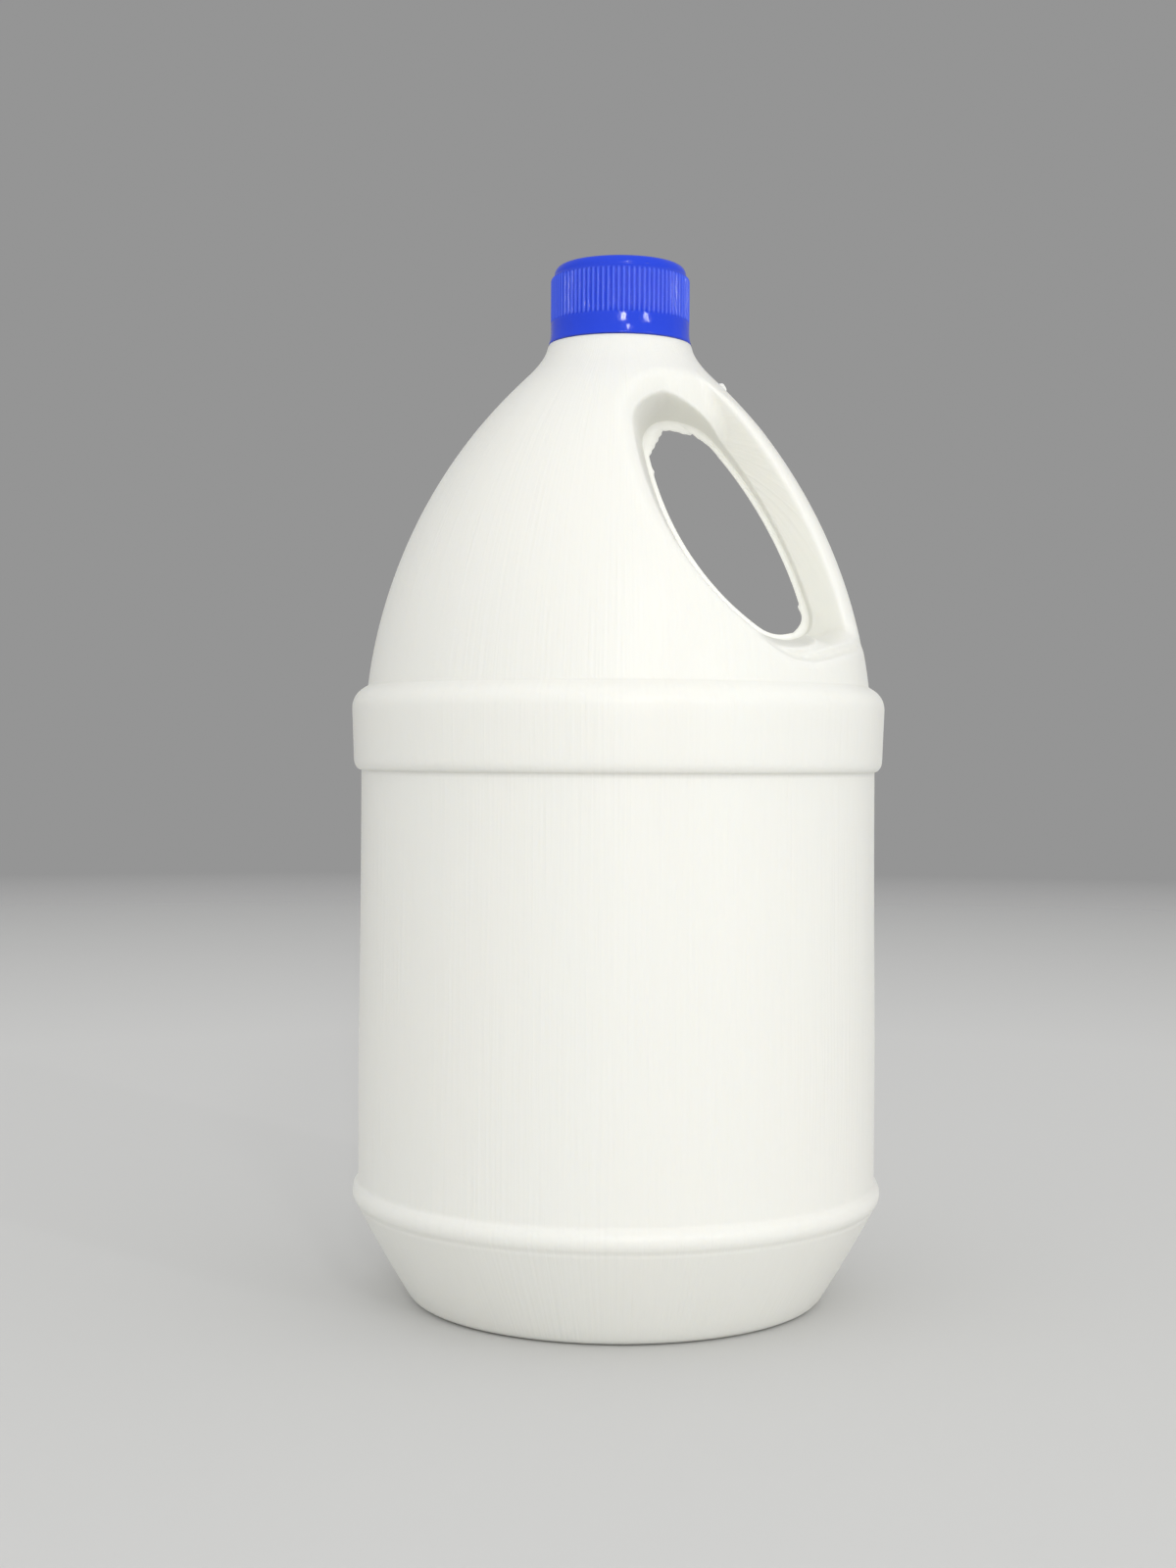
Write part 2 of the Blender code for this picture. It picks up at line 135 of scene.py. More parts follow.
def smooth_max(first, second, soft):
    """The larger of two values, rounded over where they differ by less than soft."""
    soft = np.maximum(soft, 1e-6)
    near = np.maximum(soft - np.abs(first - second), 0.0) / soft
    return np.maximum(first, second) + near * near * soft * 0.25


# %% [markdown]
# ## The turned outline
#
# Seen from the front, the jug's outline is a few plain stretches: a taper off the floor, a round
# bead, a straight wall that waists in under a raised band, one long arc for the dome, and a
# neck that sweeps out of it. Giving the radius as a function of height lets both the turned
# body and the handle's part read the same outline.

# %% The outline as a radius at each height
BASE_RADIUS = 59.7
BASE_ROUND = 4.0
TAPER_ANGLE = math.radians(30.0)
TAPER_CROWN = 0.35
RIB_HEIGHT = 31.3
RIB_PROUD = 1.6
RIB_ROUND = 4.3
RIB_FILLET = 0.5
BODY_RADIUS = 75.5
BODY_WAIST = 0.55
WAIST_FROM, WAIST_TO = 60.0, 140.0
BAND_FOOT = 153.4
BAND_STEP = 2.05
BAND_FOOT_ROUND = 3.2
BAND_FLARE = 0.65
BAND_TOP = 171.4
BAND_TOP_ROUND = 6.6
BAND_FILLET = 1.5
DOME_ROUND = 145.66
DOME_CENTRE = (-71.61, 160.96)
NECK_RADIUS = 20.8
NECK_TOP = jug_high[2]
NECK_LEAN = 0.28
NECK_FILLET = 4.2


def body_radius(z):
    """The straight wall, a little slimmer under the band."""
    return BODY_RADIUS - BODY_WAIST * smooth_step((z - WAIST_FROM) / (WAIST_TO - WAIST_FROM))


def foot_radius(z):
    """A taper with a slight swell in its middle, after the rounded edge of the underside."""
    slope = math.tan(TAPER_ANGLE)
    along = np.clip(z / ((BODY_RADIUS - BASE_RADIUS) / slope), 0.0, 1.0)
    taper = BASE_RADIUS + slope * z + 4.0 * TAPER_CROWN * along * (1.0 - along)
    centre = BASE_RADIUS - BASE_ROUND * math.tan(0.25 * math.pi - 0.5 * TAPER_ANGLE)
    drop = np.clip(BASE_ROUND - z, 0.0, BASE_ROUND)
    edge = centre + np.sqrt(BASE_ROUND ** 2 - drop ** 2)
    return np.where(z < BASE_ROUND * (1.0 - math.sin(TAPER_ANGLE)), np.minimum(edge, taper), taper)


def rib_radius(z):
    """A round bead: an arc about the bead's height, and nothing beyond its reach."""
    reach = RIB_ROUND ** 2 - (z - RIB_HEIGHT) ** 2
    bead = BODY_RADIUS + RIB_PROUD - RIB_ROUND + np.sqrt(np.clip(reach, 0.0, None))
    return np.where(reach > 0.0, bead, 0.0)


def band_radius(z):
    """The raised band: a rounded lower step, a face that leans out, and a rounded top."""
    foot = body_radius(BAND_FOOT)
    rise = np.clip((z - BAND_FOOT) / BAND_FOOT_ROUND, 0.0, 1.0)
    face = (z - BAND_FOOT) / (BAND_TOP - BAND_FOOT) * BAND_FLARE
    lower = foot + BAND_STEP * np.sqrt(1.0 - (1.0 - rise) ** 2) + face
    fall = np.clip(z - BAND_TOP, 0.0, BAND_TOP_ROUND)
    upper = foot + BAND_STEP + BAND_FLARE - BAND_TOP_ROUND + np.sqrt(BAND_TOP_ROUND ** 2 - fall ** 2)
    return np.where(z < BAND_TOP, lower, upper)


def dome_radius(z):
    """The dome's arc."""
    rise = np.clip(z - DOME_CENTRE[1], 0.0, DOME_ROUND)
    return DOME_CENTRE[0] + np.sqrt(DOME_ROUND ** 2 - rise ** 2)


def turned_radius(z):
    """The jug's radius at a height, without its handle."""
    z = np.asarray(z, dtype=float)
    lower = smooth_max(np.minimum(foot_radius(z), body_radius(z)), rib_radius(z), RIB_FILLET)
    middle = np.where(z < BAND_FOOT, body_radius(z), band_radius(z))
    shoulder = smooth_max(band_radius(z), dome_radius(z), BAND_FILLET)
    neck = NECK_RADIUS + NECK_LEAN * (NECK_TOP - z)
    crown = smooth_max(dome_radius(z), neck, NECK_FILLET)
    tops = (RIB_HEIGHT + RIB_ROUND, BAND_TOP, BAND_TOP + BAND_TOP_ROUND, 0.5 * (BAND_TOP + NECK_TOP))
    return np.select([z < top for top in tops], [lower, middle, shoulder, dome_radius(z)], crown)


print("widest at", round(2.0 * float(turned_radius(BAND_TOP)), 1), "mm")

# %% [markdown]
# ## The handle in the front view
#
# The handle isn't a loop that was stuck on. The mould pinches the tube flat in an oval place
# of the shoulder, and what stays outside it is the grip. So the front view holds a few signed
# distances: how far a place is inside the dome's outline, past the gap's left arc, above its
# head and under the ledge below it. The corners are rounded by blending two distances.

# %% Signed distances in the front view
GRIP_WIDTH = 14.2           # from the outline to the gap
GAP_ARC_ROUND = 84.6        # the gap's left side is an arc
GAP_ARC_CENTRE = (91.33, 263.95)
GAP_HEAD = 253.1
GAP_CORNER = 6.0
GAP_MIDDLE = (33.0, 223.0)
LEDGE_POINT = (47.0, 189.8)
LEDGE_RISE = math.radians(18.0)
WEB_SIDE = 1.3              # the web's width beside, over and under the gap, and on the grip
WEB_HEAD = 2.6
WEB_FOOT = 1.7
WEB_GRIP = 1.3
HEAD_CORNER = 7.6
LEDGE_CORNER = 8.0


def inward(x, z):
    """How far a place is inside the dome's outline: the arc's radius less the distance from its centre."""
    return DOME_ROUND - np.hypot(x - DOME_CENTRE[0], z - DOME_CENTRE[1])


def past_side(x, z):
    """How far a place is on the body side of the gap's left arc."""
    return np.hypot(x - GAP_ARC_CENTRE[0], z - GAP_ARC_CENTRE[1]) - GAP_ARC_ROUND


def under_ledge(x, z):
    """How far a place is below the sloping ledge, measured square to it."""
    return (x - LEDGE_POINT[0]) * math.sin(LEDGE_RISE) - (z - LEDGE_POINT[1]) * math.cos(LEDGE_RISE)


def outside_gap(x, z):
    """The largest of the distances past the gap's sides and ends, with its corners rounded."""
    across = np.maximum(GRIP_WIDTH - inward(x, z), past_side(x, z))
    ends = np.maximum(z - GAP_HEAD, under_ledge(x, z) + WEB_FOOT)
    return np.maximum(smooth_max(across, ends, GAP_CORNER) + trimmed_edge(x, z), past_cut(x, z))


def past_upper_web(x, z):
    """Distance past the web's left and upper edges, round a quarter circle, and how far it points upward."""
    side = past_side(x, z) - WEB_SIDE + HEAD_CORNER
    head = z - GAP_HEAD - WEB_HEAD + HEAD_CORNER
    reach = np.hypot(np.maximum(side, 0.0), np.maximum(head, 0.0))
    upward = smooth_step(0.5 + 0.5 * (head - side) / (np.abs(head) + np.abs(side) + 1e-6))
    return reach + np.minimum(np.maximum(side, head), 0.0) - HEAD_CORNER, upward


def outside_web(x, z):
    """Signed distance from the outer edge of the web round the gap."""
    grip = GRIP_WIDTH - WEB_GRIP - inward(x, z)
    upper = smooth_max(grip, past_upper_web(x, z)[0], GAP_CORNER)
    return smooth_max(upper, under_ledge(x, z), LEDGE_CORNER)


# %% [markdown]
# The scrap in the gap is cut or torn out by hand, so the web's edge is ragged at the gap's head,
# cut straight across its upper left corner, and chipped elsewhere. The rule below takes the
# bearing of a place from the gap's middle: short waves fade in over the head, and each chip is
# a bump of a given width and height. The straight cut is one more signed distance.

# %% The trimmed edge of the web
HEAD_BEARING = 118.0
HEAD_SPREAD = 14.0
HEAD_WAVES = ((0.33, 0.12), (0.71, 0.1), (1.9, 0.06))       # radians for each degree, and height
EDGE_CHIPS = (                      # bearing and width in degrees, and height
    (141.5, 0.8, 0.4),
    (125.0, 1.2, -0.35),
    (111.5, 1.0, -0.45),
    (312.8, 0.9, 0.5),
    (304.0, 7.0, 0.8),
)
CUT_START = (8.95, 246.0)           # a straight cut across the gap's upper left corner
CUT_END = (12.26, 252.2)
CUT_RAGGED = 0.12


def trimmed_edge(x, z):
    """How far the web's edge stands into the gap at a bearing: waves round the head, and chips as bumps."""
    bearing = np.degrees(np.arctan2(z - GAP_MIDDLE[1], x - GAP_MIDDLE[0])) % 360.0
    waves = sum(height * np.sin(rate * bearing + 9.0 * height) for rate, height in HEAD_WAVES)
    edge = waves * np.exp(-((bearing - HEAD_BEARING) / HEAD_SPREAD) ** 2)
    for place, width, height in EDGE_CHIPS:
        edge = edge + height * np.exp(-((bearing - place) / width) ** 2)
    return edge


def past_cut(x, z):
    """How far a place is past the straight cut, on the body's side."""
    run = np.array(CUT_END) - CUT_START
    run = run / np.hypot(*run)
    along = (x - CUT_START[0]) * run[0] + (z - CUT_START[1]) * run[1]
    return (z - CUT_START[1]) * run[0] - (x - CUT_START[0]) * run[1] + CUT_RAGGED * np.sin(3.0 * along)


# %% [markdown]
# ## Depth of the plastic
#
# The two mould halves meet at y = 0, so one function of the front view gives the whole shape:
# how deep the plastic reaches from that plane. Outside the recess it is the turned dome. In the
# recess a steep wall stands on the thin web, and a gentle one slopes from its top up to the rim.
# Round the grip the gentle wall is the grip's face, which ends in a ridge; behind that the grip
# is rounded. Each part is a depth of its own, and the deepest wins, with its corners blended.

# %% Depth at each place of the front view
WEB_HALF_THICKNESS = 0.6
WEB_EDGE_HALF_THICKNESS = 0.3
RIM_REACH_SIDE = 6.0        # from the web to the recess's rim, beside the gap, over it and under it
RIM_REACH_HEAD = 10.5
RIM_REACH_LEDGE = 8.3
RIM_WIDEST = 227.0          # the height at which the rim beside the gap is furthest from the web,
RIM_EXTRA = 1.2             # by this much,
RIM_SPREAD = 16.0           # and over this height up and down
RIM_SLOPE = 1.15            # the wall's last stretch falls from the rim by this much for each millimetre,
RIM_SHELF = 9.0             # and past this distance from the rim also
RIM_DROP = 3.0              # by this times the square of the way, beside and under the gap,
RIM_DROP_HEAD = 0.06        # and by this times it over the gap
RIM_SOFT = 2.0              # softness of the rim itself
WALL_SLOPE_SIDE = 11.5      # the steep wall gains this much depth for each millimetre beside the gap,
WALL_SLOPE_HEAD = 5.6       # over it,
WALL_SLOPE_GRIP = 16.0      # and on the grip
LEDGE_WALL = 5.5            # the steep wall under the gap is this tall
RIM_CORNER = 0.9            # softness of the rim's lower corner, as a part of the reach
WALL_EDGE = 3.0             # softness of the edge between the steep wall and its last stretch
WALL_CORNER = 10.0          # softness where the upper wall meets the lower one
HOLLOW = 5.0                # the ledge's wall sinks by this much before it meets the dome in a crease
HOLLOW_FROM = 0.4           # it starts at this part of the way to the rim, and sinks over the next part
HOLLOW_GROWTH = 0.4
HOLLOW_CREASE = 0.13        # and it ends over this last part
HOLLOW_OVER = 5.0           # it fades out from under the ledge to this far above it
HOLLOW_FADE = 6.0
BLEND_BY_DOME = 3.0         # a blend is no softer than this times the distance from the dome,
BLEND_BY_WEB = 1.2          # and than this times the distance from the web
GRIP_HALF_DEPTH = 13.5
GRIP_DEEPEN_FROM = 225.0    # above this height the grip deepens, until it is the dome itself
GRIP_DEEPEN = 0.0056
GRIP_FACE_SLOPE = 0.8       # the grip's face falls towards the gap
GRIP_CREST = 4.0            # softness with which its ridge ends in the dome
GRIP_TURN = 16.0            # the steep wall changes over this width at the head's right end
GRIP_RIDGE = 4.6            # the ridge's distance from the outline
GRIP_RIDGE_SOFT = 0.6
GRIP_OUTER_ROUND = 5.5      # the grip's back is round over this distance from the outline
GRIP_ROOT = 4.0             # softness with which the grip grows out of the recess,
GRIP_ROOT_FOOT = 12.0       # and the same at its foot,
GRIP_FOOT = 210.0           # which is below this height
GRIP_FOOT_FADE = 15.0
ON_GRIP = (53.0, 223.0)     # a place on the grip, beside the gap's middle


def smooth_min(first, second, soft):
    """The smaller of two values, rounded over where they differ by less than soft."""
    return -smooth_max(-first, -second, soft)


def upper_reach(x, z):
    """Beside and above the gap: the wall's width, its slope by the web, and its drop past the shelf."""
    past_upper, upward = past_upper_web(x, z)
    side = RIM_REACH_SIDE + RIM_EXTRA * np.exp(-((z - RIM_WIDEST) / RIM_SPREAD) ** 2)
    slope = WALL_SLOPE_SIDE + (WALL_SLOPE_HEAD - WALL_SLOPE_SIDE) * upward
    by_grip = smooth_step(0.5 + (GRIP_WIDTH - WEB_GRIP - inward(x, z) - past_upper) / GRIP_TURN)
    slope = slope + (WALL_SLOPE_GRIP - slope) * by_grip
    return side + (RIM_REACH_HEAD - side) * upward, slope, RIM_DROP * (RIM_DROP_HEAD / RIM_DROP) ** upward


def recess_climb(x, z):
    """The share of the way from the web to the rim: 0 at the web and 1 at the rim."""
    upper = past_upper_web(x, z)[0] / upper_reach(x, z)[0]
    return smooth_max(upper, under_ledge(x, z) / RIM_REACH_LEDGE, RIM_CORNER)


def gentle_depth(to_rim, drop, dome):
    """The wall's last stretch: it falls from the dome's depth inside the rim, and faster past the shelf."""
    inside = smooth_max(to_rim, 0.0, RIM_SOFT)
    return dome - RIM_SLOPE * inside - drop * np.maximum(inside - RIM_SHELF, 0.0) ** 2


def wall_depth(steep, gentle, dome):
    """The lower of a steep wall and a gentle one, with a soft edge between them, from the web to the dome."""
    return np.clip(smooth_min(steep, gentle, WALL_EDGE), np.minimum(dome, WEB_HALF_THICKNESS), dome)


def blend(first, second, dome, soft):
    """The deeper of two depths, rounded where they are alike, but neither on the thin web nor on the dome."""
    deepest = np.maximum(first, second)
    by_dome = BLEND_BY_DOME * (dome - deepest)
    by_web = BLEND_BY_WEB * (deepest - WEB_HALF_THICKNESS)
    return smooth_max(first, second, np.minimum(soft, np.minimum(by_dome, by_web)))


def hollow_depth(x, z):
    """How far the ledge's wall sinks: more and more towards the rim, and back to nothing in a crease."""
    climb = recess_climb(x, z)
    sinking = smooth_step((climb - HOLLOW_FROM) / HOLLOW_GROWTH)
    crease = smooth_step((1.0 - climb) / HOLLOW_CREASE)
    below = smooth_step((under_ledge(x, z) + HOLLOW_OVER) / HOLLOW_FADE)
    return HOLLOW * (sinking * crease * below)


def grip_depth(x, z):
    """Half the grip's depth: a rounded back up to the ridge, and a face that slopes towards the gap."""
    ridge = DOME_CENTRE[0] + np.sqrt((DOME_ROUND - GRIP_RIDGE) ** 2 - (z - DOME_CENTRE[1]) ** 2)
    crest = np.sqrt(np.clip(turned_radius(z) ** 2 - ridge ** 2, 0.0, None))
    half = GRIP_HALF_DEPTH + GRIP_DEEPEN * np.maximum(z - GRIP_DEEPEN_FROM, 0.0) ** 2
    half = smooth_min(half, crest, GRIP_CREST)
    back = np.clip(inward(x, z) / GRIP_OUTER_ROUND, 0.0, 1.0)
    face = half - GRIP_FACE_SLOPE * (inward(x, z) - GRIP_RIDGE)
    return smooth_min(half * np.sqrt(1.0 - (1.0 - back) ** 2), face, GRIP_RIDGE_SOFT)


def half_depth(x, z):
    """Depth from the parting plane: the deepest of the two walls less the hollow, and of the grip."""
    dome = np.sqrt(np.clip(turned_radius(z) ** 2 - x ** 2, 0.0, None))
    reach, slope, drop = upper_reach(x, z)
    steep = WEB_HALF_THICKNESS + slope * outside_web(x, z)
    upper = wall_depth(steep, gentle_depth(reach - past_upper_web(x, z)[0], drop, dome), dome)
    below = under_ledge(x, z)
    rising = WEB_HALF_THICKNESS + dome / LEDGE_WALL * below
    lower = wall_depth(rising, gentle_depth(RIM_REACH_LEDGE - below, RIM_DROP, dome), dome)
    recessed = blend(upper, lower, dome, WALL_CORNER) - hollow_depth(x, z)
    grip = wall_depth(steep, np.minimum(dome, grip_depth(x, z)), dome)
    root = GRIP_ROOT + (GRIP_ROOT_FOOT - GRIP_ROOT) * smooth_step((GRIP_FOOT - z) / GRIP_FOOT_FADE)
    return blend(recessed, grip, dome, root)


print("half the grip's depth at the gap's middle:", round(float(half_depth(*ON_GRIP)), 1), "mm")

# %% [markdown]
# ## Rays from the gap to the border
#
# A height field over a square grid would tear at the gap's edge and crowd on the steep walls.
# Rays don't: each column starts on the gap's edge and runs out to the border of the shoulder,
# and its points are packed where the wall is steep. The columns are laid out in angle and
# height, so that they meet the turned rows below and above point for point.

# %% The shoulder's grid
HALF_COLUMNS = 160
SIDE_ROWS = 78
WEB_ROWS = 3
WALL_ROWS = 26
FAR_ROWS = 32
SEAM_CROWDING = 0.85        # how much closer the columns are at the parting seam
SHOULDER_FOOT = 181.5
SHOULDER_TOP = 270.0
SHOULDER_ARC = 60.0         # the radius that turns an angle round the jug into a length
BEARINGS = (-51.0, 88.0, 135.0, 222.0, -51.0)       # they part the gap's edge among the border's four sides
OUTLINE_STEPS = 2880
GAP_LONGEST = 60.0          # nowhere is the gap's edge further from its middle than this
WALL_LONGEST = 12.0         # nowhere is the web, or the wall, wider than this along a ray
HALVINGS = 40
WALL_CROWDING = 1.5         # the power that packs the rows near the web
RAY_CROWDING = 0.8          # and what long rays add to the one that packs the rows near the rim
RAY_SHORT = 40.0
RAY_SPREAD = 60.0


def half_turn(count):
    """Angles from the left seam to the right one, crowded at both: u (3 - u squared) / 2 mixed with u."""
    u = np.linspace(-1.0, 1.0, count + 1)
    return 0.5 * math.pi * ((1.0 - SEAM_CROWDING) * u + SEAM_CROWDING * u * (3.0 - u * u) / 2.0)


def reach_along(place, outside, start, longest):
    """The distance along each ray at which a signed distance turns positive, found by halving."""
    low, high = start, start + longest
    for _ in range(HALVINGS):
        middle = 0.5 * (low + high)
        beyond = outside(*place(middle)) > 0.0
        low, high = np.where(beyond, low, middle), np.where(beyond, middle, high)
    return low


def gap_outline():
    """The gap's outline, found along each bearing from its middle by halving."""
    turn = np.linspace(0.0, 2.0 * math.pi, OUTLINE_STEPS + 1)

    def place(reach):
        return GAP_MIDDLE[0] + reach * np.cos(turn), GAP_MIDDLE[1] + reach * np.sin(turn)

    return (turn, *place(reach_along(place, outside_gap, np.zeros_like(turn), GAP_LONGEST)))


def outline_stretch(outline, first, last, count):
    """Points evenly spaced along the outline between two bearings, without the last."""
    turn, x, z = outline
    length = np.concatenate(([0.0], np.cumsum(np.hypot(np.diff(x), np.diff(z)))))
    ends = np.interp([first % (2.0 * math.pi), last % (2.0 * math.pi)], turn, length)
    if ends[1] < ends[0]:
        ends[1] += length[-1]
    places = np.mod(np.linspace(ends[0], ends[1], count + 1)[:-1], length[-1])
    return np.interp(places, length, x), np.interp(places, length, z)


def shoulder_border():
    """Each column's outer end as angle and height, and its place on the gap, from the lower right upwards."""
    across = half_turn(HALF_COLUMNS)
    rising = np.linspace(SHOULDER_FOOT, SHOULDER_TOP, SIDE_ROWS + 1)
    angle = [np.full(SIDE_ROWS, across[-1]), -across[:-1], np.full(SIDE_ROWS, across[0]), across[:-1]]
    top, foot = (np.full(HALF_COLUMNS, height) for height in (SHOULDER_TOP, SHOULDER_FOOT))
    height = [rising[:-1], top, rising[:0:-1], foot]
    outline = gap_outline()
    bearings = [math.radians(bearing) for bearing in BEARINGS]
    gap = [outline_stretch(outline, bearings[i], bearings[i + 1], len(angle[i])) for i in range(4)]
    gap_x, gap_z = (np.concatenate([stretch[i] for stretch in gap]) for i in range(2))
    return np.concatenate(angle), np.concatenate(height), gap_x, gap_z


def past_rim(x, z):
    """Positive past the recess's rim, or past the grip's ridge."""
    return np.maximum(recess_climb(x, z) - 1.0, GRIP_RIDGE - inward(x, z))


def shoulder_grid():
    """Points of the handle's part, one row for each loop from the gap's edge outwards."""
    angle, height, gap_x, gap_z = shoulder_border()
    gap_angle = np.arcsin(gap_x / turned_radius(gap_z))
    turn, climb = angle - gap_angle, height - gap_z
    length = np.hypot(turn * SHOULDER_ARC, climb)

    def place(distance):
        part = distance / length
        spot_z = gap_z + climb * part
        return turned_radius(spot_z) * np.sin(gap_angle + turn * part), spot_z

    web = reach_along(place, outside_web, np.zeros_like(length), WALL_LONGEST)
    rim = reach_along(place, past_rim, web, WALL_LONGEST)
    across_web = np.linspace(0.0, 1.0, WEB_ROWS)[:, None] * web
    on_wall = web + (np.linspace(0.0, 1.0, WALL_ROWS)[1:, None] ** WALL_CROWDING) * (rim - web)
    out = np.linspace(0.0, 1.0, FAR_ROWS + 1)[1:, None]
    out = (1.0 - SEAM_CROWDING) * out + SEAM_CROWDING * (1.0 - (1.0 - out) ** 2)
    power = 1.0 + RAY_CROWDING * smooth_step((length - RAY_SHORT) / RAY_SPREAD)
    x, z = place(np.concatenate((across_web, on_wall, rim + (length - rim) * out ** power)))
    depth = half_depth(x, z)
    depth[:WEB_ROWS] = np.linspace(WEB_EDGE_HALF_THICKNESS, WEB_HALF_THICKNESS, WEB_ROWS)[:, None]
    depth[-1, np.abs(angle) > 0.5 * math.pi - 1e-9] = 0.0
    edge = np.stack((x[:1], np.zeros_like(x[:1]), z[:1]), axis=-1)
    return np.concatenate((edge, np.stack((x, -depth, z), axis=-1)))


shoulder = shoulder_grid()
print("shoulder grid", shoulder.shape)

# %% [markdown]
# ## Turned rows, and the seam
#
# Below and above the handle's part the jug is plainly turned: half circles, closest together
# where the outline bends. The seam is a low ridge on the parting plane. It is worked out on the
# finished points: whatever lies within a hair of that plane, on the outside, is pushed out.

# %% The turned rows
TAPER_TO = RIB_HEIGHT - 4.6         # the rows part here: the taper, the bead, the wall and the band
BEAD_HALF = 4.2
WALL_FROM = RIB_HEIGHT + 5.5
WALL_TO = BAND_FOOT - 1.5


def turned_grid(heights):
    """Half circles in front of the parting plane, from the left seam to the right."""
    angle = half_turn(HALF_COLUMNS)
    radius = turned_radius(heights)[:, None]
    x = radius * np.sin(angle)
    y = -radius * np.cos(angle)
    y[:, [0, -1]] = 0.0
    return np.stack((x, y, np.broadcast_to(np.asarray(heights)[:, None], x.shape)), axis=-1)


def lower_heights():
    """Heights of the rows under the shoulder: arcs are cut at even angles, and straight walls evenly."""
    edge = BASE_ROUND * (1.0 - np.cos(np.linspace(0.0, 0.5 * math.pi - TAPER_ANGLE, 7)))
    taper = np.linspace(edge[-1], TAPER_TO, 9)[1:]
    bead = np.linspace(RIB_HEIGHT - BEAD_HALF, RIB_HEIGHT + BEAD_HALF, 19)
    wall = np.linspace(WALL_FROM, WALL_TO, 16)
    step = BAND_FOOT + BAND_FOOT_ROUND * (1.0 - np.cos(np.linspace(0.0, 0.5 * math.pi, 9)))
    face = np.linspace(step[-1], BAND_TOP, 5)[1:-1]
    roll = BAND_TOP + BAND_TOP_ROUND * np.sin(np.linspace(0.0, 0.5 * math.pi, 13))[:-1]
    fillet = np.linspace(roll[-1], SHOULDER_FOOT, 8)[1:]
    return np.concatenate((edge, taper, bead, wall, step, face, roll, fillet))


lower = turned_grid(lower_heights())
upper = turned_grid(np.linspace(SHOULDER_TOP, NECK_TOP, 12))
print("turned grids", lower.shape, upper.shape)

# %% The seam's ridge and the wall's waves
SEAM_HEIGHT = 0.16
SEAM_WIDTH = 0.35
SEAM_REACH = 3.0            # points this far inside the outline aren't moved
SEAM_FADE = 2.0
SEAM_FOOT = 0.5
BOX_MARGIN = 0.01
WALL_WAVE = 0.12            # how far the blown wall sinks between its fuller places
WALL_WAVES = ((3.0, 31.0, 0.0), (7.0, -17.0, 1.3), (2.0, 9.0, 0.0))     # turns, length and phase
NECK_BAND = 12.0            # the waves fade out over this height under the top
FOOT_FLAT = 2.0             # and fade in from here, over the height below
FOOT_FADE = 10.0
INNER_RADIUS = 15.0         # and in from this radius, over the width below
INNER_FADE = 20.0


def add_seam(points):
    """Pushes the outline out at the parting plane, as a bell-shaped ridge across y."""
    x, y, z = points.T
    at_outline = smooth_step((np.abs(x) - turned_radius(z) + SEAM_REACH) / SEAM_FADE) * (z > SEAM_FOOT)
    ridge = SEAM_HEIGHT * at_outline * np.exp(-(y / SEAM_WIDTH) ** 2)
    limit = jug_high[0] - BOX_MARGIN
    x_new = np.clip(x + np.sign(x) * ridge, -limit, limit)
    return np.stack((x_new, y, z), axis=1)


def add_waves(points):
    """Sinks the wall by slow waves round and up it, as blown plastic cools unevenly. It never swells."""
    x, y, z = points.T
    angle = np.arctan2(y, x)
    wave = sum(np.sin(turns * angle + z / length + phase) for turns, length, phase in WALL_WAVES)
    keep = smooth_step((z - FOOT_FLAT) / FOOT_FADE) * smooth_step((NECK_TOP - z) / NECK_BAND)
    sink = WALL_WAVE * keep * (wave / (2.0 * len(WALL_WAVES)) - 0.5)
    radius = np.maximum(np.hypot(x, y), 1e-6)
    factor = 1.0 + sink / radius * smooth_step((radius - INNER_RADIUS) / INNER_FADE)
    return np.stack((x * factor, y * factor, z), axis=1)


# %% [markdown]
# ## White plastic
#
# Polyethylene is milky rather than painted: light goes in a little way and comes back out, which
# softens the shade in the recess. The surface is satin with an uneven gloss, and carries upright
# die lines that are too fine for the mesh. They are a noise that varies fast with the direction
# from the axis and slowly with the height, so they also run straight up the narrowing dome.
# The web round the gap is thin enough for light to come through. A weak glow stands for that,
# and an attribute named thin, which is set on the jug's points further down, says where it is.

# %% Node helpers


def new_material(name, colour, roughness):
    """A material with a Principled shader, its tree, and the shader."""
    material = bpy.data.materials.new(name)
    material.use_nodes = True
    tree = material.node_tree
    shader = tree.nodes["Principled BSDF"]
    shader.inputs["Base Color"].default_value = (*colour, 1.0)
    shader.inputs["Roughness"].default_value = roughness
    return material, tree, shader


def object_noise(tree, scale, detail=2.0):
    """Noise on Object coordinates that are stretched by a scale for each axis."""
    coordinates = tree.nodes.new("ShaderNodeTexCoord")
    mapping = tree.nodes.new("ShaderNodeMapping")
    mapping.inputs["Scale"].default_value = scale
    noise = tree.nodes.new("ShaderNodeTexNoise")
    noise.inputs["Scale"].default_value = 1.0
    noise.inputs["Detail"].default_value = detail
    tree.links.new(coordinates.outputs["Object"], mapping.inputs["Vector"])
    tree.links.new(mapping.outputs["Vector"], noise.inputs["Vector"])
    return noise.outputs["Fac"]


def vector_step(tree, operation, first, second=None):
    """One step of vector arithmetic, with a constant as its second part."""
    node = tree.nodes.new("ShaderNodeVectorMath")
    node.operation = operation
    tree.links.new(first, node.inputs[0])
    if second:
        node.inputs[1].default_value = second
    return node.outputs["Vector"]


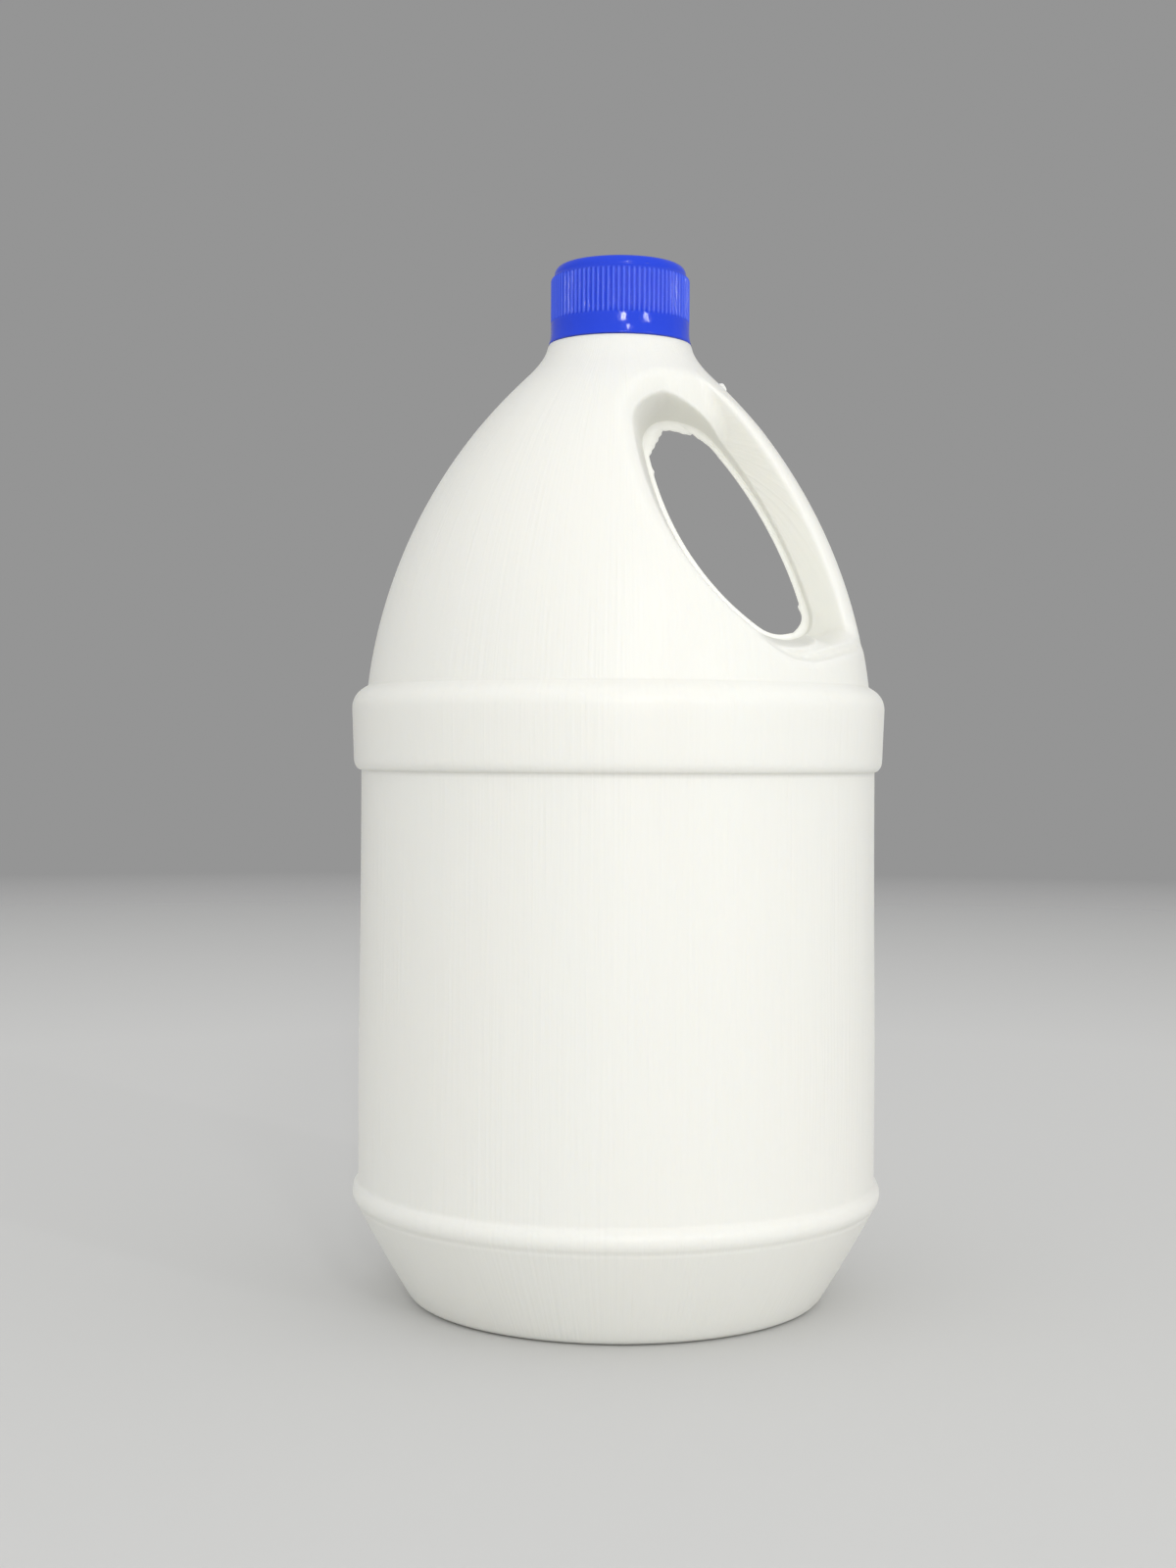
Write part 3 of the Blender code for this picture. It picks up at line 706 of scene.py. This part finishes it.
def upright_lines(tree, around, rise):
    """Noise on the direction from the axis and on the height, so that its streaks run up the dome too."""
    place = tree.nodes.new("ShaderNodeTexCoord").outputs["Object"]
    direction = vector_step(tree, "NORMALIZE", vector_step(tree, "MULTIPLY", place, (1.0, 1.0, 0.0)))
    turned = vector_step(tree, "MULTIPLY", direction, (around, around, 0.0))
    add = tree.nodes.new("ShaderNodeVectorMath")
    add.operation = "ADD"
    tree.links.new(turned, add.inputs[0])
    tree.links.new(vector_step(tree, "MULTIPLY", place, (0.0, 0.0, rise)), add.inputs[1])
    noise = tree.nodes.new("ShaderNodeTexNoise")
    noise.inputs["Scale"].default_value = 1.0
    noise.inputs["Detail"].default_value = 3.0
    tree.links.new(add.outputs["Vector"], noise.inputs["Vector"])
    return noise.outputs["Fac"]


def ramp(tree, value, low, high, to_low, to_high):
    """Carries a value's range low to high onto to_low to to_high."""
    node = tree.nodes.new("ShaderNodeMapRange")
    for name, number in zip(("From Min", "From Max", "To Min", "To Max"), (low, high, to_low, to_high)):
        node.inputs[name].default_value = number
    tree.links.new(value, node.inputs["Value"])
    return node.outputs["Result"]


def bump(tree, height, distance, strength, under=None):
    """Bump from a height, on top of another bump's normal."""
    node = tree.nodes.new("ShaderNodeBump")
    node.inputs["Distance"].default_value = distance
    node.inputs["Strength"].default_value = strength
    tree.links.new(height, node.inputs["Height"])
    if under:
        tree.links.new(under, node.inputs["Normal"])
    return node.outputs["Normal"]


def two_colours(tree, value, first, second):
    """A colour between two, by a value from 0 to 1."""
    node = tree.nodes.new("ShaderNodeMix")
    node.data_type = "RGBA"
    node.inputs["A"].default_value = (*first, 1.0)
    node.inputs["B"].default_value = (*second, 1.0)
    tree.links.new(value, node.inputs["Factor"])
    return node.outputs["Result"]


# %% The jug's plastic
MILK_WHITE = (0.84, 0.845, 0.80)
WARM_WHITE = (0.86, 0.85, 0.795)
PLASTIC_ROUGHNESS = 0.42
PATCH_SCALE = (22.0, 22.0, 9.0)     # patches of gloss, taller than wide
DULL_PATCH = 0.52                   # roughness at the patches' ends
GLOSSY_PATCH = 0.30
GRAIN_SCALE = 900.0
GRAIN_HEIGHT = 0.00004
DIE_LINES_ROUND = 70.0              # how fast the die lines vary round the jug and up it
DIE_LINES_UP = 22.0
DIE_LINES_HEIGHT = 0.00028
MILK_DEPTH = (0.006, 0.0055, 0.0045)        # how far light spreads in the plastic
WEB_GLOW = 0.16                     # light that comes through the thin web


def jug_plastic():
    """Satin white polyethylene with patches of gloss, die lines and a fine grain."""
    material, tree, shader = new_material("jug plastic", MILK_WHITE, PLASTIC_ROUGHNESS)
    patches = ramp(tree, object_noise(tree, PATCH_SCALE, 1.0), 0.0, 1.0, 0.0, 1.0)
    tree.links.new(two_colours(tree, patches, MILK_WHITE, WARM_WHITE), shader.inputs["Base Color"])
    tree.links.new(ramp(tree, patches, 0.2, 0.8, DULL_PATCH, GLOSSY_PATCH), shader.inputs["Roughness"])
    grain = bump(tree, object_noise(tree, (GRAIN_SCALE,) * 3, 2.0), GRAIN_HEIGHT, 0.5)
    lines = bump(tree, upright_lines(tree, DIE_LINES_ROUND, DIE_LINES_UP), DIE_LINES_HEIGHT, 0.6, grain)
    tree.links.new(lines, shader.inputs["Normal"])
    shader.inputs["Subsurface Weight"].default_value = 0.25
    shader.inputs["Subsurface Radius"].default_value = MILK_DEPTH
    shader.inputs["Subsurface Scale"].default_value = 1.0
    thin = tree.nodes.new("ShaderNodeAttribute")
    thin.attribute_name = "thin"
    shader.inputs["Emission Color"].default_value = (1.0, 1.0, 0.96, 1.0)
    glow = ramp(tree, thin.outputs["Fac"], 0.0, 1.0, 0.0, WEB_GLOW)
    tree.links.new(glow, shader.inputs["Emission Strength"])
    return material


white = jug_plastic()
print("material", white.name)

# %% [markdown]
# ## The jug
#
# The front half is put together from its three grids, the back half is the same with y turned
# round and its faces reversed, and the doubled points on the parting plane are merged. The
# underside and the neck's top, which the cap hides, are closed by one flat face each.

# %% Front half, back half and ends
WEB_MARGIN = 0.1            # the glow covers the web and this much of the wall's foot


def jug_mesh():
    """Points and outward faces of the whole jug."""
    grids = [(shoulder, True, True), (lower, False, False), (upper, False, False)]
    points = []
    faces = []
    first = 0
    for grid, closed, turn_over in grids:
        rows, columns = grid.shape[:2]
        quads = grid_faces(rows, columns, closed) + first
        faces.append(quads[:, ::-1] if turn_over else quads)
        points.append(grid.reshape(-1, 3))
        first += rows * columns
    points = np.concatenate(points)
    faces = np.concatenate(faces)
    back = points * (1.0, -1.0, 1.0)
    faces = np.concatenate((faces, faces[:, ::-1] + len(points)))
    columns = HALF_COLUMNS + 1
    lower_first = shoulder.shape[0] * shoulder.shape[1]
    top_last = len(points) - columns
    base = lower_first + np.arange(columns)
    rim = top_last + np.arange(columns)
    around = [np.concatenate((row, (row + len(points))[-2:0:-1])) for row in (base, rim)]
    ends = [around[0][::-1].tolist(), around[1].tolist()]
    return add_waves(add_seam(np.concatenate((points, back)))), faces.tolist() + ends


def mark(piece, name, share):
    """Stores a number from 0 to 1 at each point of a piece, worked out from x, y and z."""
    places = np.empty(3 * len(piece.data.vertices))
    piece.data.vertices.foreach_get("co", places)
    attribute = piece.data.attributes.new(name, "FLOAT", "POINT")
    attribute.data.foreach_set("value", share(*(places.reshape(-1, 3).T / MM)).astype(float))


def on_web(x, y, z):
    """1 on the web round the gap and 0 elsewhere."""
    return outside_web(x, z) < WEB_MARGIN


jug = mesh_piece("jug_shell", *jug_mesh(), white, "jug_plastic")
mark(jug, "thin", on_web)
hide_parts("jug")

# %% [markdown]
# ## Flash on the seam
#
# Where the pinch blades closed over the handle, a scrap of plastic stands on the seam near the
# neck. It is small and irregular: a rounded lump, flattened along Y, half sunk in the shoulder.

# %% The scrap on the shoulder
SCRAP_HEIGHT = 265.6
SCRAP_SIZE = (1.7, 0.7, 1.35)       # half its length along the seam, across it, and out from it
SCRAP_SUNK = 0.1


def lump(size, rows=16, columns=24):
    """A sphere's grid with its radius disturbed by a few waves, stretched to a size."""
    polar = np.linspace(0.0, math.pi, rows)[:, None]
    turn = np.linspace(0.0, 2.0 * math.pi, columns, endpoint=False)
    radius = 1.0 + 0.14 * np.sin(3.0 * turn + 1.0) * np.sin(polar) ** 2 + 0.06 * np.cos(5.0 * polar)
    unit = (np.cos(polar) * np.ones_like(turn), np.sin(polar) * np.sin(turn), np.sin(polar) * np.cos(turn))
    points = np.stack([radius * part for part in unit], axis=-1).reshape(-1, 3)
    return points * size, grid_faces(rows, columns, True).tolist()


def on_right_outline(points, height, sunk):
    """Carries a lump's length along the outline at a height, and its thickness out from it."""
    step = 0.5
    rise = float(turned_radius(height + step) - turned_radius(height - step))
    along = np.array((rise, 0.0, 2.0 * step)) / math.hypot(rise, 2.0 * step)
    out = np.array((along[2], 0.0, -along[0]))
    middle = np.array((float(turned_radius(height)), 0.0, height)) - sunk * out
    return middle + points[:, :1] * along + points[:, 1:2] * (0.0, 1.0, 0.0) + points[:, 2:] * out


def tidy_poles(piece):
    """Removes the faces that merging left without area, and turns all faces outwards."""
    shape = bmesh.new()
    shape.from_mesh(piece.data)
    bmesh.ops.dissolve_degenerate(shape, edges=shape.edges, dist=0.000001)
    bmesh.ops.recalc_face_normals(shape, faces=shape.faces)
    shape.to_mesh(piece.data)
    shape.free()


scrap_points, scrap_faces = lump(SCRAP_SIZE)
scrap_points = on_right_outline(scrap_points, SCRAP_HEIGHT, SCRAP_SUNK)
scrap = mesh_piece("seam_scrap", scrap_points, scrap_faces, white, "jug_plastic")
tidy_poles(scrap)

# %% [markdown]
# ## The cap
#
# A moulded screw cap has a plain band under a ribbed grip. The ribs stand flush with the band
# and end bluntly under the top, which is a little narrower and rounds over. Radius as a function
# of the angle and the height makes all of it at once: a smooth outline, less the grooves. The
# ribs' backs are painted a lighter blue than the grooves, a painted highlight, so the same pulse is stored
# for the colour.

# %% The cap's surface
CAP_FOOT = cap_low[2]
CAP_TOP = cap_high[2]
CAP_LIP_RADIUS = cap_high[0]
CAP_LIP_PROUD = 0.57
CAP_RADIUS = CAP_LIP_RADIUS - CAP_LIP_PROUD
CAP_TOP_RADIUS = CAP_RADIUS - 1.0
CAP_RIM_RADIUS = CAP_RADIUS - 2.6
CAP_LIP_HEIGHT = 3.6
CAP_STEP = 3.2              # how far below the top the ribs' blunt upper ends are
CAP_STEP_ROUND = 1.1
CAP_SHOULDER = 2.4          # height over which the cap rounds in to its top
CAP_BAND = 6.0              # height of the plain band under the ribs
CAP_RIBS = 84
CAP_RIB_DEPTH = 0.6
RIB_BACK = 0.275            # a rib's back reaches this part of the way to the middle of the groove,
RIB_FALL = 0.4              # and its side falls over this part
RIB_COLUMNS = 10
RIBS_FROM = CAP_FOOT + CAP_BAND
RIBS_TO = CAP_TOP - CAP_STEP
RIB_END = 1.0               # height over which a rib starts and ends


def cap_radius(z):
    """The smooth outline: a flared lip, a straight side, a rounded step in, and a top that rounds over."""
    lip = np.clip(1.0 - (z - CAP_FOOT) / CAP_LIP_HEIGHT, 0.0, 1.0) ** 2
    step = np.clip((z - CAP_TOP + CAP_STEP + CAP_STEP_ROUND) / CAP_STEP_ROUND, 0.0, 1.0)
    side = CAP_TOP_RADIUS + (CAP_RADIUS - CAP_TOP_RADIUS) * np.sqrt(1.0 - step ** 2)
    round_in = np.clip((z - CAP_TOP + CAP_SHOULDER) / CAP_SHOULDER, 0.0, 1.0)
    over = (CAP_TOP_RADIUS - CAP_RIM_RADIUS) * (1.0 - (1.0 - round_in ** 2) ** 0.7)
    return side - over + (CAP_LIP_RADIUS - CAP_RADIUS) * lip


def ribbed(z):
    """1 over the height of the ribs, and 0 under and over it."""
    return smooth_step((z - RIBS_FROM) / RIB_END) * smooth_step((RIBS_TO - z) / RIB_END)


def rib_share(angle, z):
    """1 on a rib and 0 elsewhere: a pulse for each rib's share of the turn, over the height of the ribs."""
    phase = np.abs((angle * CAP_RIBS / (2.0 * math.pi)) % 1.0 - 0.5) * 2.0
    pulse = 1.0 - smooth_step((phase - RIB_BACK) / RIB_FALL)
    return pulse * ribbed(z)


def cap_grid():
    """The cap's side, row by row, then its top drawn in to the middle, and its underside the same."""
    angle = np.linspace(0.0, 2.0 * math.pi, CAP_RIBS * RIB_COLUMNS, endpoint=False)
    foot = np.linspace(CAP_FOOT, RIBS_FROM - 0.2, 12)
    rib_foot = np.linspace(RIBS_FROM, RIBS_FROM + RIB_END, 7)
    ribs = np.linspace(RIBS_FROM + 2.0 * RIB_END, RIBS_TO - 2.0 * RIB_END, 6)
    step = RIBS_TO - CAP_STEP_ROUND * np.cos(np.linspace(0.0, 0.5 * math.pi, 9))
    crown = CAP_TOP - CAP_SHOULDER * np.cos(np.linspace(0.0, 0.5 * math.pi, 14))
    z = np.concatenate((foot, rib_foot, ribs, step, crown))[:, None]
    radius = cap_radius(z) - CAP_RIB_DEPTH * (ribbed(z) - rib_share(angle, z))
    side = np.stack((radius * np.cos(angle), radius * np.sin(angle), z * np.ones_like(angle)), axis=-1)
    shrink = np.array((0.97, 0.8, 0.5, 0.2, 0.0))[:, None, None]
    top = side[-1] * np.concatenate((shrink, shrink, np.ones_like(shrink)), axis=2)
    under = side[0] * np.concatenate((shrink[::-1], shrink[::-1], np.ones_like(shrink)), axis=2)
    return np.concatenate((under, side, top))


def cap_mesh():
    """Points and faces of the cap."""
    grid = cap_grid()
    return grid.reshape(-1, 3), grid_faces(grid.shape[0], grid.shape[1], True).tolist()


# %% The cap's plastic
CAP_BLUE = (0.015, 0.056, 0.68)
# painted highlight: the lighter blue painted on the ribs' backs
RIB_HIGHLIGHT_BLUE = (0.062, 0.128, 0.83)
CAP_ROUGHNESS = (0.12, 0.2)         # its glossiest and dullest places
MOTTLE_SCALE = (90.0, 90.0, 60.0)
SKIN_SCALE = (260.0, 260.0, 200.0)
SKIN_HEIGHT = 0.0003


def cap_plastic():
    """Glossy blue polypropylene with a painted highlight on the ribs' backs, and a slightly uneven skin that
    breaks up the highlights.
    """
    material, tree, shader = new_material("cap plastic", CAP_BLUE, CAP_ROUGHNESS[1])
    # the rib attribute paints the ribs' backs a lighter blue, a painted highlight
    ribs = tree.nodes.new("ShaderNodeAttribute")
    ribs.attribute_name = "rib"
    tree.links.new(two_colours(tree, ribs.outputs["Fac"], CAP_BLUE, RIB_HIGHLIGHT_BLUE), shader.inputs["Base Color"])
    mottle = object_noise(tree, MOTTLE_SCALE)
    tree.links.new(ramp(tree, mottle, 0.3, 0.7, *CAP_ROUGHNESS), shader.inputs["Roughness"])
    skin = bump(tree, object_noise(tree, SKIN_SCALE), SKIN_HEIGHT, 0.7)
    tree.links.new(skin, shader.inputs["Normal"])
    return material


blue = cap_plastic()
cap = mesh_piece("cap_shell", *cap_mesh(), blue, "cap_plastic")
# the rib attribute marks where the painted highlight on the ribs' backs goes
mark(cap, "rib", lambda x, y, z: rib_share(np.arctan2(y, x), z))
tidy_poles(cap)
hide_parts("cap")

# %% [markdown]
# ## Floor and light
#
# A white jug on a white floor loses its edge, so the floor is a pale grey disc that fades out
# into a darker backdrop. Broad light from all sides keeps the shade soft, and glossy surfaces
# reflect the dark backdrop instead of it, as they would in a dim room. A narrow strip of light
# beside the camera and another to the right draw the upright glints on the cap, and a small
# window higher up shows in the gloss of the dome, where it brings out the die lines.

# %% The floor
FLOOR_RINGS = (0.0, 0.3, 1.0, 4.0)
FLOOR_SIDES = 64
FLOOR_DROP = 0.0002         # how far it is under the jug
FLOOR_GREY = (0.62, 0.62, 0.61)
FLOOR_FADE_FROM, FLOOR_FADE_TO = 0.6, 2.2


def floor_material():
    """Pale grey, turning clear with the distance from the middle."""
    material, tree, shader = new_material("floor", FLOOR_GREY, 0.8)
    coordinates = tree.nodes.new("ShaderNodeTexCoord")
    distance = tree.nodes.new("ShaderNodeVectorMath")
    distance.operation = "LENGTH"
    tree.links.new(coordinates.outputs["Object"], distance.inputs[0])
    fade = ramp(tree, distance.outputs["Value"], FLOOR_FADE_FROM, FLOOR_FADE_TO, 1.0, 0.0)
    tree.links.new(fade, shader.inputs["Alpha"])
    return material


def make_floor():
    """Rings round the origin, just under the jug."""
    turn = np.linspace(0.0, 2.0 * math.pi, FLOOR_SIDES, endpoint=False)
    radius = np.array(FLOOR_RINGS)[:, None]
    x, y = radius * np.cos(turn), radius * np.sin(turn)
    points = np.stack((x, y, np.full_like(x, -FLOOR_DROP)), axis=-1).reshape(-1, 3)
    faces = grid_faces(*x.shape, True)[:, ::-1]
    mesh = bpy.data.meshes.new("floor")
    mesh.from_pydata(points.tolist(), [], faces.tolist())
    mesh.materials.append(floor_material())
    floor = bpy.data.objects.new("floor", mesh)
    bpy.context.scene.collection.objects.link(floor)


make_floor()

# %% The lights
JUG_MIDDLE = (0.0, 0.0, 0.17)


def strip_light(name, place, size, watts):
    """A rectangle of light that faces the jug's middle."""
    data = bpy.data.lights.new(name, "AREA")
    data.shape = "RECTANGLE"
    data.size, data.size_y = size
    data.energy = watts
    light = bpy.data.objects.new(name, data)
    light.location = place
    towards = Vector(JUG_MIDDLE) - Vector(place)
    light.rotation_euler = towards.to_track_quat("-Z", "Y").to_euler()
    bpy.context.scene.collection.objects.link(light)


def backdrop(shown, dim, bright, towards):
    """A plain grey world, also in reflections. What it sheds rises from dim to bright towards a direction."""
    world = bpy.data.worlds.new("backdrop")
    bpy.context.scene.world = world
    world.use_nodes = True
    tree = world.node_tree
    coordinates = tree.nodes.new("ShaderNodeTexCoord")
    cosine = tree.nodes.new("ShaderNodeVectorMath")
    cosine.operation = "DOT_PRODUCT"
    cosine.inputs[1].default_value = Vector(towards).normalized()
    tree.links.new(coordinates.outputs["Generated"], cosine.inputs[0])
    shed = tree.nodes.new("ShaderNodeBackground")
    tree.links.new(ramp(tree, cosine.outputs["Value"], -1.0, 1.0, dim, bright), shed.inputs["Strength"])
    shed.inputs["Color"].default_value = (1.0, 1.0, 1.0, 1.0)
    seen = tree.nodes.new("ShaderNodeBackground")
    seen.inputs["Color"].default_value = (shown, shown, shown, 1.0)
    path = tree.nodes.new("ShaderNodeLightPath")
    mix = tree.nodes.new("ShaderNodeMixShader")
    looked_at = tree.nodes.new("ShaderNodeMath")
    looked_at.operation = "MAXIMUM"
    tree.links.new(path.outputs["Is Camera Ray"], looked_at.inputs[0])
    tree.links.new(path.outputs["Is Glossy Ray"], looked_at.inputs[1])
    tree.links.new(looked_at.outputs["Value"], mix.inputs["Fac"])
    tree.links.new(shed.outputs["Background"], mix.inputs[1])
    tree.links.new(seen.outputs["Background"], mix.inputs[2])
    tree.links.new(mix.outputs["Shader"], tree.nodes["World Output"].inputs["Surface"])


strip_light("strip by the camera", (0.10, -1.5, 0.45), (0.03, 0.4), 2.8)
strip_light("strip to the right", (1.08, -1.15, 0.45), (0.02, 0.4), 2.6)
strip_light("window", (0.32, -1.35, 1.0), (0.12, 0.2), 1.6)
backdrop(0.30, 0.76, 1.0, (0.30, -0.88, 0.35))
bpy.context.scene.view_settings.view_transform = "Standard"
print("lights set")
